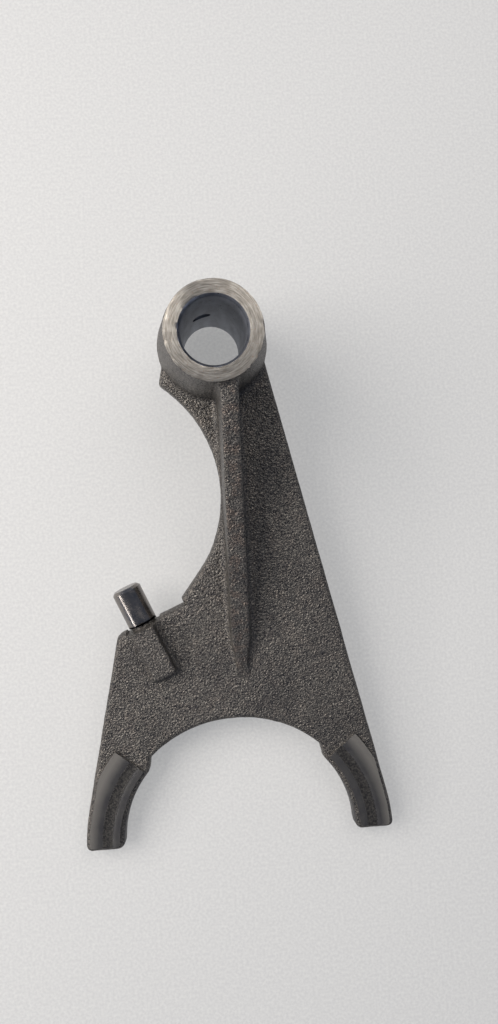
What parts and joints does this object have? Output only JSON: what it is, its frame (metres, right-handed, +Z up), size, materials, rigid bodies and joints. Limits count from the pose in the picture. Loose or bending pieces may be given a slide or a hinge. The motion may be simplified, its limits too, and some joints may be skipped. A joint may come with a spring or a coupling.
{
  "type": "reverse shift fork",
  "caption": "Gearbox shift fork with a bored boss, a ribbed plate, half-round throat with machined pads, and a turned side pin.",
  "frame": {"origin": "on the bore's axis at the plate's mid thickness", "axes": "the fork lies as it rests on a table that is parallel to XY: +Z up, -Y from the boss to the throat, +X across the fingers; the bore's axis leans about 7.4 degrees from +Z towards -Y"},
  "size_m": [0.1074, 0.1882, 0.0634],
  "materials": {
    "cast_body": "as-cast skin with machined end faces, bore, pads and pin"
  },
  "bodies": {
    "root": {"shift_fork": "cast_body"}
  },
  "joints": []
}
